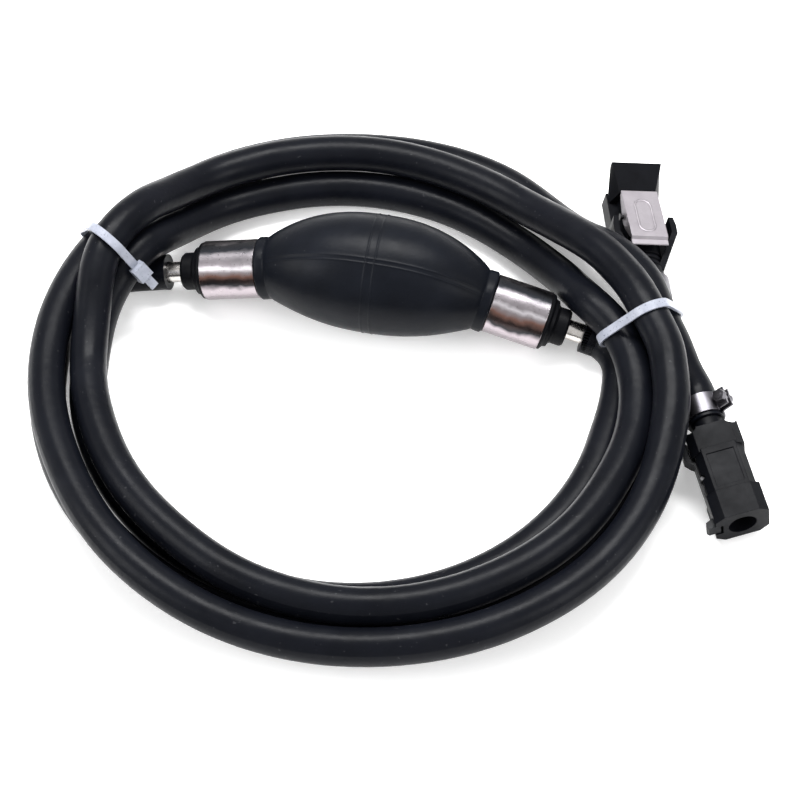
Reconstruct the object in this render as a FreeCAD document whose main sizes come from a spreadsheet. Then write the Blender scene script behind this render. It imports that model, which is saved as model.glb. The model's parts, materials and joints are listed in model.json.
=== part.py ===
import FreeCAD, Part
import Sketcher
import math
import os
import re
from FreeCAD import Placement, Rotation, Vector

# Outboard fuel line with a hand primer bulb, coiled and tied for storage.
# Frame: +Z up, floor at z = 0, origin under the middle of the whole coil.
# Fuel runs: tank connector -> short hose -> inlet check valve -> bulb ->
# outlet check valve -> long hose -> engine connector.

DIMENSIONS = [
    # hoses and the coil
    ("hose_od", 15.8), ("hose_id", 9.5), ("coil_x", -16.0), ("coil_y", 1.4),
    # primer bulb
    ("bulb_dia", 52.0), ("bulb_wall", 4.2), ("bulb_half", 46.5), ("bulb_reach", 51.0),
    ("bulb_x", 8.6), ("bulb_y", 47.4), ("bulb_z", 26.2), ("bulb_heading", -10.8),
    ("collar_dia", 27.4), ("neck_dia", 24.0), ("neck_length", 24.4), ("neck_bore", 15.8),
    # crimp sleeves and end bushes
    ("sleeve_dia", 25.8), ("sleeve_wall", 0.8), ("sleeve_length", 25.0),
    ("bush_flange", 25.0), ("bush_step", 21.4), ("bush_nose", 16.4), ("bush_end", 35.2),
    # check valves in the bulb's necks
    ("valve_dia", 15.5), ("valve_start", 1.5), ("valve_shoulder", 18.5), ("valve_end", 24.3),
    ("valve_cavity", 12.0), ("nipple_dia", 9.0), ("nipple_bore", 5.5), ("hose_start", 42.5),
    ("barb_dia", 9.4), ("barb_root", 8.6), ("barb_length", 15.0), ("nipple_barb", 8.0),
    ("seat_hole", 6.4), ("cage_hole", 8.0), ("ring_length", 3.0), ("valve_gap", 0.05),
    ("seal_thick", 0.8), ("seal_dia", 9.2), ("disc_dia", 11.6), ("disc_thick", 1.4),
    ("disc_notch", 1.5), ("stem_dia", 2.6), ("stem_length", 4.2), ("valve_spring_dia", 6.8),
    ("valve_wire", 0.7),
    # screw clamps on the hose ends
    ("clamp_width", 9.0), ("clamp_wall", 0.8), ("clamp_back", 6.0), ("ear_reach", 4.8),
    ("ear_gap", 2.6), ("ear_wall", 1.0), ("screw_dia", 3.0), ("screw_head", 4.4),
    ("screw_length", 7.4), ("nut_width", 5.2), ("nut_thick", 2.4),
    # what both quick connectors share
    ("plug_dia", 9.0), ("plug_length", 14.0), ("chamber_dia", 7.0), ("chamber_end", 28.0),
    ("seat_end", 30.0), ("seat_bore", 4.8), ("mouth", 50.0), ("passage", 3.8),
    ("ring_groove", 35.5), ("ring_wire", 1.8), ("poppet_nose", 3.8), ("poppet_head", 6.6),
    ("poppet_reach", 34.0), ("poppet_wire", 0.6), ("poppet_spring_dia", 4.8), ("slip", 0.1),
    # tank connector
    ("tank_socket", 10.0), ("throat_step", 0.3), ("slot_end", 43.6), ("tank_half", 12.0),
    ("tank_depth", 8.0), ("cheek_half", 14.4),
    ("cheek_y", 20.5), ("cheek_end", 29.5), ("cheek_top", 9.0), ("cheek_wall", 2.6),
    ("throat_half", 6.2), ("block_half", 7.1), ("block_start", 21.0), ("block_top", 8.0),
    ("hood_start", 44.2), ("hood_end", 56.5), ("hood_low", 7.4), ("hood_high", 14.0),
    ("hood_half", 11.5), ("hood_thick", 3.0), ("pin_y", 31.0), ("pin_z", 6.4),
    ("pin_dia", 2.0), ("pin_length", 20.0), ("lever_half", 8.25), ("lever_sheet", 0.9),
    ("lever_near", 11.8), ("lever_far", 43.2), ("lever_near_z", 12.8), ("lever_far_z", 10.2),
    # engine connector
    ("engine_socket", 12.0), ("shoulder_half", 11.4), ("barrel_half", 10.3),
    ("front_half", 11.4), ("shoulder_start", 4.5), ("shoulder_end", 16.5),
    ("front_start", 36.5), ("latch_y", 27.0), ("latch_x", 10.0), ("latch_height", 5.6),
    ("latch_slot", 6.4), ("latch_floor", 8.2), ("latch_pin_length", 9.6),
    # cable ties
    ("tie_width", 3.8), ("tie_thick", 1.2), ("tie_slack", 0.25), ("head_length", 7.2),
    ("head_height", 4.2), ("head_width", 6.6),
]

BULB_STRAIGHT = 5.0  # the bulb's axis is straight this far each side of its middle
BULB_BENT = 43.0      # and straight again from here outwards
SHOULDER_POWER = 2.3  # how full the bulb's outline is towards its ends

# Directions out of the bulb at its two ends, drooping towards the floor.
OUTLET_AXIS = Vector(0.946, -0.2416, -0.216)
INLET_AXIS = Vector(-0.969, 0.122, -0.216)

# Quick connectors: where each hose ends, the way its mouth points, and its roll.
TANK_END = Vector(128.2, 55.7, 10.7)
TANK_AXIS = Vector(-0.105, 0.9945, 0.0)
TANK_ROLL = 10.0
ENGINE_END = Vector(148.0, -25.4, 16.7)
ENGINE_AXIS = Vector(0.2382, -0.969, -0.0655)
ENGINE_ROLL = 8.0

# The long hose, from the engine connector round three turns of the coil to the bulb.
# Each station is (angle about the coil's middle, radius, height): the hose holds a lane
# at a steady radius and climbs over or under its neighbours between lanes.
LONG_LANES = [
    (-1, 140, 20.8), (4, 136, 24.1), (9, 133.1, 25.6), (14, 132, 26.3), (18, 131.8, 26.7),
    (22, 130.9, 26.5), (26, 129.0, 25.6), (31, 126.6, 22.8), (36, 125.4, 17.8),
    (43, 126.2, 11.8), (51, 129, 8.4), (60, 131.8, 8), (90, 133.5, 8),
    (120, 136, 8), (130, 135.8, 9), (137, 134.2, 12.8), (143, 131.2, 18.4),
    (149, 129.5, 24.0), (156, 129.7, 25.4), (168, 130.4, 25.2), (180, 130.5, 24.4),
    (200, 130, 24.1), (225, 132.8, 23.4), (250, 135, 20.6), (270, 136.2, 19.4),
    (300, 139.2, 20), (315, 140, 20.8), (330, 138.6, 24), (345, 135.2, 30.8),
    (351, 133.8, 33), (356, 132, 34.8), (360, 130.4, 36.8),
    (364, 127.6, 38.4), (369, 124.4, 39.8), (374, 122.2, 39.9), (380, 119.6, 38.8),
    (386, 117.2, 37.4), (391, 115.4, 35.2), (398, 113.8, 31), (407, 113.4, 26),
    (413, 114, 24), (420, 114.8, 23), (450, 120, 21.8),
    (468, 121.8, 22.8), (480, 122.8, 24), (486, 121.8, 26.6), (494, 119.8, 33),
    (500, 119, 38.4), (504, 118.8, 40.6), (509, 119, 41.6), (516, 118.8, 39.6),
    (522, 117, 35), (528, 114.8, 30), (534, 113.6, 26.2), (540, 113, 24.1),
    (560, 111.2, 24.2), (585, 111.6, 24.2), (610, 116.2, 24), (630, 119.7, 23.6),
    (660, 122, 24), (675, 122.6, 24.2), (690, 121.6, 24), (705, 120.9, 23.2),
    (715, 119.2, 23.8),
    (720, 117.6, 24.6), (726, 114.8, 25.2), (732, 110, 26.3), (738, 105.4, 25.7),
    (744, 104.4, 21), (754, 104.4, 14.5), (765, 105.3, 9.6), (780, 106.8, 8),
    (810, 110.8, 8), (828, 113.4, 8), (840, 115.2, 9), (846, 114.6, 11.4),
    (854, 112.6, 17), (860, 111.4, 22.6), (864, 111.4, 25.7), (869, 112.3, 26.9),
    (876, 113.8, 23.4), (882, 115.5, 17), (888, 115.4, 11.8), (894, 114.8, 8.8),
    (900, 114.6, 8), (920, 112, 8), (945, 109.4, 8), (970, 108, 8), (990, 108, 8),
    (1035, 108.6, 8), (1050, 109, 8), (1065, 109.5, 8),
]
# From the last lane the long hose turns in to the bulb's outlet.
LONG_TURN_IN = [(111.2, -9.8, 8.0), (113.3, 2.0, 8.3), (113.6, 9.0, 9.0)]

# The short hose leaves the bulb's inlet, turns on to the outer lane and runs to the tank end.
SHORT_TURN_OUT = [(-109.0, 59.5, 8.0), (-119.7, 53.4, 8.0), (-127.2, 43.6, 8.0),
                  (-130.4, 31.0, 8.0), (-131.5, 14.0, 8.0)]
SHORT_LANES = [(180, 131.8, 8), (200, 129.5, 8), (225, 126, 8), (250, 124.6, 8),
               (270, 124.4, 8), (300, 124.8, 8), (330, 126, 8), (345, 127.6, 8),
               (355, 128.5, 8)]
SHORT_RISE = [(130.0, 8.0, 8.0), (130.3, 20.0, 8.0), (130.0, 32.0, 8.6)]

LANE_STEP = 5.0     # degrees between route points along a lane
BEND_STEP = 12.0    # most degrees that a hose turns between two rings of its skin
RING_POLES = 12     # control points round a hose's skin
FACE_SPANS = 8      # route points that one face of the skin runs over
STUB = (0.0, 5.0, 10.0, 15.0)      # points that keep a hose straight over a connector's barb
NIPPLE_STUB = (0.0, 3.0, 6.0)  # and over the shorter barb at each end of the bulb

# The two cable ties. Each has a point in the strap's plane, the way the plane faces, the way
# to the inside of the coil, where the ratchet head sits (0 on the innermost hose, 1 on the
# outermost), the angle above level that it faces, and how long the cut tail is.
TIES = [
    ("tie_left", Vector(-104.4, 57.3, 27.0), Vector(0.62, 0.68, 0.30), Vector(1, -0.6, 0),
     0.0, 30.0, 7.5),
    ("tie_right", Vector(119.4, 18.9, 25.0), Vector(-0.36, 0.88, 0.30), Vector(-1, -0.4, 0),
     0.5, -90.0, 0.6),
]
TIE_REACH = 45.0   # a hose further than this from the tie's point isn't in the bundle
TIE_LOWEST = 15.0  # the ties hold the raised hoses; those on the floor pass underneath

TANK_EAR = 180.0   # which way round the hose each clamp's ears stand
ENGINE_EAR = 215.0

doc = FreeCAD.newDocument("PrimerBulbLine")
sheet = doc.addObject("Spreadsheet::Sheet", "Dims")
parts = []


def fill_sheet():
    for row, (alias, size) in enumerate(DIMENSIONS, start=1):
        sheet.set("A%d" % row, alias)
        sheet.set("B%d" % row, str(size))
        sheet.setAlias("B%d" % row, alias)
    doc.recompute()


def size(text):
    """The number that an expression on the sheet stands for."""
    if isinstance(text, str):
        return float(sheet.evalExpression(spelled(text)))
    return float(text)


def spelled(text):
    """An expression with each alias written the way other objects refer to it."""
    return re.sub("[a-z][a-z_0-9]*", lambda word: "Dims." + word.group(), text)


# ---------------------------------------------------------------- frames

def frame(origin, along, roll=0.0):
    """Local Y runs along the given direction and local Z is up, tipped to the right by roll."""
    along = Vector(along).normalize()
    right = along.cross(Vector(0, 0, 1)).normalize()
    up = right.cross(along)
    tip = math.radians(roll)
    up_tipped = up * math.cos(tip) + right * math.sin(tip)
    right_tipped = right * math.cos(tip) - up * math.sin(tip)
    turn = Rotation(right_tipped, along, up_tipped, "YXZ")
    coil = Vector(size("coil_x"), size("coil_y"), 0)
    return Placement(origin + coil, turn)


def shifted(place, x=0.0, y=0.0, z=0.0, turn=None):
    return place.multiply(Placement(Vector(x, y, z), turn or Rotation()))


FLIP = Rotation(Vector(1, 0, 0), 180)
UP_TO_ALONG = Rotation(Vector(1, 0, 0), -90)   # turns a piece made along Z to lie along Y


# ---------------------------------------------------------------- feature helpers

def new_body(label, place):
    body = doc.addObject("PartDesign::Body", label)
    body.Label = label
    body.Placement = place
    parts.append(body)
    return body


def new_sketch(body, plane, offset=0.0):
    sketch = body.newObject("Sketcher::SketchObject", body.Name + "_sketch")
    origin_plane = [f for f in body.Origin.OriginFeatures if f.Role == plane][0]
    sketch.AttachmentSupport = [(origin_plane, "")]
    sketch.MapMode = "FlatFace"
    sketch.AttachmentOffset = Placement(Vector(0, 0, size(offset)), Rotation())
    if isinstance(offset, str):
        sketch.setExpression("AttachmentOffset.Base.z", spelled(offset))
    return sketch


def outline(sketch, corners):
    """A closed outline of straight edges, with each corner held by two bound distances."""
    first = sketch.GeometryCount
    points = [Vector(size(x), size(y), 0) for x, y in corners]
    count = len(points)
    for i in range(count):
        sketch.addGeometry(Part.LineSegment(points[i], points[(i + 1) % count]), False)
    for i in range(count):
        after = first + (i + 1) % count
        sketch.addConstraint(Sketcher.Constraint("Coincident", first + i, 2, after, 1))
    for i, corner in enumerate(corners):
        for kind, text, number in zip(("DistanceX", "DistanceY"), corner, points[i]):
            made = sketch.addConstraint(Sketcher.Constraint(kind, -1, 1, first + i, 1, number))
            if isinstance(text, str):
                sketch.setExpression("Constraints[%d]" % made, spelled(text))


def ring(sketch, radius, x=0.0, y=0.0):
    circle = sketch.addGeometry(Part.Circle(Vector(size(x), size(y), 0), Vector(0, 0, 1),
                                            size(radius)), False)
    for kind, text in (("DistanceX", x), ("DistanceY", y)):
        made = sketch.addConstraint(Sketcher.Constraint(kind, -1, 1, circle, 3, size(text)))
        if isinstance(text, str):
            sketch.setExpression("Constraints[%d]" % made, spelled(text))
    made = sketch.addConstraint(Sketcher.Constraint("Radius", circle, size(radius)))
    if isinstance(radius, str):
        sketch.setExpression("Constraints[%d]" % made, spelled(radius))


def mirrored(half):
    """Both halves of an outline given as its right-hand half from one end to the other."""
    other = [("-( " + x + " )" if isinstance(x, str) else -x, y) for x, y in reversed(half)]
    return list(half) + other


def extrude(kind, body, sketch, length, towards=1, symmetric=False):
    """A Pad or Pocket that grows along the sketch plane's normal, or against it."""
    before = body.Shape.Volume if body.Tip else 0.0
    feature = body.newObject("PartDesign::" + kind, body.Name + "_" + kind.lower())
    feature.Profile = sketch
    feature.Length = size(length)
    if isinstance(length, str):
        feature.setExpression("Length", spelled(length))
    if symmetric:
        feature.SideType = "Symmetric"
    forward = kind == "Pad"
    feature.Reversed = (towards > 0) != forward
    finish(body, feature)
    gained = body.Shape.Volume - before
    if (gained > 0) != forward:
        raise RuntimeError("%s changed its volume by %.3f" % (feature.Name, gained))
    return feature


def finish(body, feature):
    body.Tip = feature
    doc.recompute()
    if "Invalid" in feature.State or "Error" in feature.State:
        raise RuntimeError("%s failed" % feature.Name)


def revolve(body, corners, kind="Revolution"):
    """Turn a half-outline of (radius, along) corners about local Y."""
    sketch = new_sketch(body, "XY_Plane")
    outline(sketch, corners)
    before = body.Shape.Volume if body.Tip else 0.0
    feature = body.newObject("PartDesign::" + kind, body.Name + "_" + kind.lower())
    feature.Profile = sketch
    feature.ReferenceAxis = (sketch, ["V_Axis"])
    feature.Angle = 360
    finish(body, feature)
    if ((body.Shape.Volume - before) > 0) != (kind == "Revolution"):
        raise RuntimeError("%s did not change the volume" % feature.Name)


def turned(label, place, corners):
    body = new_body(label, place)
    revolve(body, corners)
    return body


def coil_spring(label, place, across, wire, start, end, turns):
    """A compression spring on local Y from start to end, with the wire clear of both."""
    travel = end - start - wire
    helix = doc.addObject("Part::Helix", label + "_helix")
    helix.Radius = (across - wire) / 2
    helix.Height = travel
    helix.Pitch = travel / turns
    section = doc.addObject("Part::Circle", label + "_wire")
    section.Radius = wire / 2
    rise = math.atan2(travel / turns, math.pi * (across - wire))
    section.Placement = Placement(Vector(helix.Radius, 0, 0),
                                  Rotation(Vector(1, 0, 0), 90 + math.degrees(rise)))
    spring = doc.addObject("Part::Sweep", label)
    spring.Label = label
    spring.Sections = [section]
    spring.Spine = (helix, ["Edge1"])
    spring.Solid = True
    spring.Frenet = True
    spring.Placement = shifted(place, y=start + wire / 2, turn=UP_TO_ALONG)
    parts.append(spring)
    doc.recompute()
    return spring


def group(label, members):
    for member in members:
        parts.remove(member)
    together = doc.addObject("Part::Compound", label)
    together.Label = label
    together.Links = members
    parts.append(together)
    return together


# ---------------------------------------------------------------- primer bulb

def bulb_point(distance):
    """Point on the bulb's axis and its direction; positive distances run to the outlet."""
    heading = math.radians(size("bulb_heading"))
    start = Vector(math.cos(heading), math.sin(heading), 0)
    end = Vector(OUTLET_AXIS).normalize()
    if distance < 0:
        start = start * -1
        end = Vector(INLET_AXIS).normalize()
    run = abs(distance)
    middle = Vector(size("bulb_x"), size("bulb_y"), size("bulb_z"))
    side = (end - start * end.dot(start)).normalize()
    bend = math.acos(end.dot(start))
    radius = (BULB_BENT - BULB_STRAIGHT) / bend
    if run <= BULB_STRAIGHT:
        return middle + start * run, start
    angle = min((run - BULB_STRAIGHT) / radius, bend)
    point = middle + start * (BULB_STRAIGHT + radius * math.sin(angle))
    point = point + side * (radius * (1 - math.cos(angle)))
    direction = start * math.cos(angle) + side * math.sin(angle)
    return point + direction * max(run - BULB_BENT, 0.0), direction


def bulb_frame(distance):
    point, direction = bulb_point(distance)
    return frame(point, direction)


def bulb_skin(name, stations, inset):
    """A loft of circles along the bulb's bent axis, inset from its outside."""
    rings = []
    for i, distance in enumerate(stations):
        section = doc.addObject("Part::Circle", "%s_ring%d" % (name, i))
        drop = "( bulb_dia - collar_dia ) / 2 * %.5f" % (
            (abs(distance) / size("bulb_half")) ** SHOULDER_POWER)
        section.setExpression("Radius", spelled("bulb_dia / 2 - " + drop + " - " + inset))
        section.Placement = shifted(bulb_frame(distance), turn=UP_TO_ALONG)
        rings.append(section)
    loft = doc.addObject("Part::Loft", name)
    loft.Sections = rings
    loft.Solid = True
    return loft


def bulb_cylinder(name, side, radius, start, end):
    """A round stretch of the bulb's end, from one distance along its axis to another."""
    rod = doc.addObject("Part::Cylinder", name)
    rod.setExpression("Radius", spelled(radius))
    rod.setExpression("Height", spelled("( " + end + " ) - ( " + start + " )"))
    rod.Placement = shifted(bulb_frame(side * size(start)), turn=UP_TO_ALONG)
    return rod


def make_bulb():
    half = size("bulb_half")
    fractions = (0.0, 0.2, 0.4, 0.6, 0.78, 0.9, 1.0)
    stations = [-half * f for f in reversed(fractions[1:])] + [half * f for f in fractions]
    inner = [distance * 0.95 for distance in stations]
    solid = [bulb_skin("bulb_outside", stations, "0")]
    hollow = [bulb_skin("bulb_hollow", inner, "bulb_wall")]
    for side in (1, -1):
        tag = "outlet" if side > 0 else "inlet"
        solid.append(bulb_cylinder("bulb_collar_" + tag, side, "collar_dia / 2",
                                   "bulb_half - 0.3", "bulb_reach"))
        solid.append(bulb_cylinder("bulb_neck_" + tag, side, "neck_dia / 2",
                                   "bulb_half - 0.3", "bulb_reach + neck_length"))
        hollow.append(bulb_cylinder("bulb_bore_" + tag, side, "neck_bore / 2",
                                    "bulb_half - 2.8", "bulb_reach + neck_length + 1"))
    whole = doc.addObject("Part::MultiFuse", "bulb_whole")
    whole.Shapes = solid
    air = doc.addObject("Part::MultiFuse", "bulb_air")
    air.Shapes = hollow
    bulb = doc.addObject("Part::Cut", "bulb")
    bulb.Label = "bulb"
    bulb.Base = whole
    bulb.Tool = air
    parts.append(bulb)
    doc.recompute()


def make_bulb_end(side, place):
    """Everything fixed in one neck of the bulb, and the check valve that moves in it."""
    turned(side + "_sleeve", place, [
        ("sleeve_dia / 2 - sleeve_wall", "valve_gap * 4"),
        ("sleeve_dia / 2 - 0.3", "valve_gap * 4"),
        ("sleeve_dia / 2", "valve_gap * 4 + 0.3"),
        ("sleeve_dia / 2", "sleeve_length - 0.3"),
        ("sleeve_dia / 2 - 0.3", "sleeve_length"),
        ("sleeve_dia / 2 - sleeve_wall", "sleeve_length")])
    turned(side + "_bush", place, [
        ("nipple_dia / 2 + slip", "sleeve_length + slip"),
        ("bush_flange / 2", "sleeve_length + slip"),
        ("bush_flange / 2 - 0.2", "sleeve_length + 1.2"),
        ("bush_step / 2", "sleeve_length + 2.2"),
        ("bush_step / 2 - 0.4", "sleeve_length + 3.6"),
        ("bush_nose / 2 + 0.6", "sleeve_length + 4.2"),
        ("bush_nose / 2", "sleeve_length + 4.9"),
        ("bush_nose / 2", "bush_end - 1"),
        ("bush_nose / 2 - 0.8", "bush_end"),
        ("nipple_dia / 2 + slip", "bush_end")])
    body = [("nipple_bore / 2", "valve_shoulder"),
            ("valve_cavity / 2", "valve_shoulder"),
            ("valve_cavity / 2", "valve_start"),
            ("valve_dia / 2", "valve_start"),
            ("valve_dia / 2", "valve_end"),
            ("nipple_dia / 2", "valve_end"),
            ("nipple_dia / 2", "hose_start")]
    for tooth in (1, 2):
        reach = "hose_start + nipple_barb * %d / 2" % tooth
        body += [("barb_dia / 2", reach + " - 0.5"), ("barb_root / 2", reach)]
    turned(side + "_valve_body", place, body + [("nipple_bore / 2", "hose_start + nipple_barb")])

    hole = "seat_hole" if side == "outlet" else "cage_hole"
    name = "outlet_valve_seat" if side == "outlet" else "inlet_valve_cage"
    turned(name, place, [
        (hole + " / 2", "valve_start"),
        ("valve_cavity / 2 - valve_gap", "valve_start"),
        ("valve_cavity / 2 - valve_gap", "valve_start + ring_length"),
        (hole + " / 2", "valve_start + ring_length")])

    # The outlet valve opens away from the bulb, the inlet valve towards it, so the
    # inlet's moving parts are the same pieces turned end for end.
    works = place
    if side == "inlet":
        span = size("valve_start + ring_length + valve_shoulder")
        works = shifted(place, y=span, turn=FLIP)
    seat = "( valve_start + ring_length + valve_gap )"
    disc = "( valve_start + ring_length + valve_gap * 2 + seal_thick )"
    turned(side + "_valve_seal", works, [
        ("seat_hole / 2", seat), ("seal_dia / 2", seat),
        ("seal_dia / 2", seat + " + seal_thick"), ("seat_hole / 2", seat + " + seal_thick")])
    poppet = turned(side + "_poppet", works, [
        (0, disc + " - 1"), ("stem_dia / 2 + 0.4", disc + " - 1"),
        ("stem_dia / 2 + 1", disc), ("disc_dia / 2", disc),
        ("disc_dia / 2", disc + " + disc_thick"),
        ("stem_dia / 2", disc + " + disc_thick"),
        ("stem_dia / 2", disc + " + disc_thick + stem_length"),
        (0, disc + " + disc_thick + stem_length")])
    notches = new_sketch(poppet, "XZ_Plane")
    for turn in range(3):
        angle = math.radians(90 + 120 * turn)
        ring(notches, "disc_notch", "disc_dia / 2 * %.4f" % math.cos(angle),
             "disc_dia / 2 * %.4f" % math.sin(angle))
    extrude("Pocket", poppet, notches, 40, symmetric=True)
    coil_spring(side + "_valve_spring", works, size("valve_spring_dia"), size("valve_wire"),
                size(disc + " + disc_thick + valve_gap"), size("valve_shoulder - valve_gap"), 6)


# ---------------------------------------------------------------- hoses

def lane_points(stations):
    """Smooth points along a lane, with no overshoot between one station and the next."""
    slopes = []
    for k, here in enumerate(stations):
        before = stations[max(k - 1, 0)]
        after = stations[min(k + 1, len(stations) - 1)]
        pair = []
        for c in (1, 2):
            into = (here[c] - before[c]) / ((here[0] - before[0]) or 1)
            onward = (after[c] - here[c]) / ((after[0] - here[0]) or 1)
            if before is here or after is here:
                pair.append(into + onward)
            elif into * onward <= 0:
                pair.append(0.0)
            else:
                gap_in = here[0] - before[0]
                gap_on = after[0] - here[0]
                mean = (into * gap_on + onward * gap_in) / (gap_in + gap_on)
                most = 3 * min(abs(into), abs(onward))
                pair.append(max(-most, min(most, mean)))
        slopes.append(pair)
    points = []
    for k in range(len(stations) - 1):
        start, end = stations[k], stations[k + 1]
        span = end[0] - start[0]
        count = max(1, round(span / LANE_STEP))
        for i in range(count):
            u = i / count
            blend = (2 * u**3 - 3 * u**2 + 1, (u**3 - 2 * u**2 + u) * span,
                     3 * u**2 - 2 * u**3, (u**3 - u**2) * span)
            radius, height = [
                blend[0] * start[c] + blend[1] * slopes[k][c - 1]
                + blend[2] * end[c] + blend[3] * slopes[k + 1][c - 1] for c in (1, 2)]
            points.append(around(start[0] + u * span, radius, height))
    points.append(around(*stations[-1]))
    return points


def around(angle, radius, height):
    turn = math.radians(angle)
    return Vector(radius * math.cos(turn), radius * math.sin(turn), height)


def stub(tip, outward, runs=STUB):
    """Points that lead straight off a barb."""
    return [tip + Vector(outward).normalize() * run for run in runs]


def make_route(label, points):
    """A smooth curve through the points, as long as the hose."""
    coil = Vector(size("coil_x"), size("coil_y"), 0)
    points = [Vector(point) + coil for point in points]
    knots = [0.0]
    for before, after in zip(points, points[1:]):
        knots.append(knots[-1] + (after - before).Length)
    curve = Part.BSplineCurve()
    curve.interpolate(Points=points, Parameters=knots,
                      InitialTangent=(points[1] - points[0]).normalize(),
                      FinalTangent=(points[-1] - points[-2]).normalize())
    route = doc.addObject("Part::Feature", label)
    route.Shape = curve.toShape()
    return route


def fill_bends(curve, stations):
    """The stations, with more between them wherever the curve turns sharply."""
    filled = stations[:1]
    for start, end in zip(stations, stations[1:]):
        turn = math.degrees(curve.tangent(start)[0].getAngle(curve.tangent(end)[0]))
        spans = int(turn / BEND_STEP) + 1
        filled += [start + (end - start) * span / spans for span in range(1, spans + 1)]
    return filled


def tube_faces(curve, stations, radius):
    """The round skin of a hose, its rings square to the route, as a run of smooth faces."""
    step = 2 * math.pi / RING_POLES
    reach = radius * 6 / (4 + 2 * math.cos(step))  # a closed cubic spline runs inside its poles
    strands = []
    for corner in range(RING_POLES):
        points = []
        for station in stations:
            along = curve.tangent(station)[0].normalize()
            right = along.cross(Vector(0, 0, 1)).normalize()
            up = right.cross(along)
            offset = right * math.cos(step * corner) + up * math.sin(step * corner)
            points.append(curve.value(station) + offset * reach)
        strand = Part.BSplineCurve()
        strand.interpolate(Points=points, Parameters=stations,
                           InitialTangent=curve.tangent(stations[0])[0].normalize(),
                           FinalTangent=curve.tangent(stations[-1])[0].normalize())
        strands.append(strand)
    poles = list(zip(*[strand.getPoles() for strand in strands]))
    skin = Part.BSplineSurface()
    skin.buildFromPolesMultsKnots(poles, strands[0].getMultiplicities(),
                                  [1] * (RING_POLES + 1), strands[0].getKnots(),
                                  list(range(RING_POLES + 1)), False, True, 3, 3)
    faces = []
    for start in range(0, len(stations) - 1, FACE_SPANS):
        stretch = skin.copy()
        end = min(start + FACE_SPANS, len(stations) - 1)
        stretch.segment(stations[start], stations[end], 0, RING_POLES)
        faces.append(stretch.toShape())
    return faces


def make_hose(label, points):
    """A hose of constant bore along a route, with square-cut ends.

    The skins are built directly because no sweep follows a route of several turns.
    """
    route = make_route(label + "_route", points)
    curve = route.Shape.Edges[0].Curve
    stations = fill_bends(curve, curve.getKnots())
    skins = [tube_faces(curve, stations, size(across) / 2) for across in ("hose_od", "hose_id")]
    faces = skins[0] + skins[1]
    for end in (0, -1):
        rims = [Part.Wire([rim(skin[end], curve.value(stations[end]))]) for skin in skins]
        faces.append(Part.makeFace(rims, "Part::FaceMakerBullseye"))
    shell = Part.makeShell(faces)
    shell.sewShape()
    hose = doc.addObject("Part::Feature", label)
    hose.Label = label
    hose.Shape = Part.Solid(shell)
    parts.append(hose)
    return route


def rim(skin, centre):
    """The closed edge of a hose's skin nearest to a point on its route."""
    closed = [edge for edge in skin.Edges if edge.isClosed()]
    return min(closed, key=lambda edge: (edge.CenterOfMass - centre).Length)


# ---------------------------------------------------------------- clamps

def make_clamp(name, end, ear_turn):
    """A band with two ears drawn together by a screw and nut; local X is the ear's way."""
    place = shifted(end, y=-size("clamp_back"), turn=Rotation(Vector(0, 1, 0), ear_turn))
    band = new_body(name + "_clamp", place)
    inner = "hose_od / 2 + valve_gap"
    outer = inner + " + clamp_wall"
    sketch = new_sketch(band, "XZ_Plane")
    ring(sketch, outer)
    extrude("Pad", band, sketch, "clamp_width", symmetric=True)
    sketch = new_sketch(band, "XZ_Plane")
    edge = "ear_gap / 2 + ear_wall"
    outline(sketch, [("hose_od / 2", "-( " + edge + " )"),
                     (outer + " + ear_reach", "-( " + edge + " )"),
                     (outer + " + ear_reach", edge), ("hose_od / 2", edge)])
    extrude("Pad", band, sketch, "clamp_width - 1", symmetric=True)
    sketch = new_sketch(band, "XZ_Plane")
    ring(sketch, inner)
    extrude("Pocket", band, sketch, 30, symmetric=True)
    sketch = new_sketch(band, "XZ_Plane")
    outline(sketch, [(4, "-ear_gap / 2"), (30, "-ear_gap / 2"), (30, "ear_gap / 2"),
                     (4, "ear_gap / 2")])
    extrude("Pocket", band, sketch, 30, symmetric=True)
    hole = "hose_od / 2 + clamp_wall + ear_reach / 2 + 0.5"
    sketch = new_sketch(band, "XY_Plane")
    ring(sketch, "screw_dia / 2 + slip", hole, 0)
    extrude("Pocket", band, sketch, 30, symmetric=True)

    # The screw stands across the ears, head on the upper one, nut under the lower one.
    across = Rotation(Vector(1, 0, 0), 90)
    top = size(edge + " + valve_gap")
    seat = shifted(place, x=size(hole), z=top, turn=across)
    screw = turned(name + "_clamp_screw", seat, [
        (0, 1.7), ("screw_head / 2 - 0.6", 1.7), ("screw_head / 2", 1.1),
        ("screw_head / 2", 0), ("screw_dia / 2", 0), ("screw_dia / 2", "-screw_length"),
        (0, "-screw_length")])
    slot = new_sketch(screw, "XY_Plane")
    outline(slot, [(-0.35, 0.8), (0.35, 0.8), (0.35, 3), (-0.35, 3)])
    extrude("Pocket", screw, slot, 20, symmetric=True)
    nut = new_body(name + "_clamp_nut", shifted(seat, y=-2 * top - size("nut_thick")))
    sketch = new_sketch(nut, "XZ_Plane")
    reach = size("nut_width") / math.sqrt(3)
    outline(sketch, [(reach * math.cos(math.radians(60 * k)),
                      reach * math.sin(math.radians(60 * k))) for k in range(6)])
    ring(sketch, "screw_dia / 2 + valve_gap")
    extrude("Pad", nut, sketch, "nut_thick", towards=-1)
    return screw, nut


# ---------------------------------------------------------------- quick connectors

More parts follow.
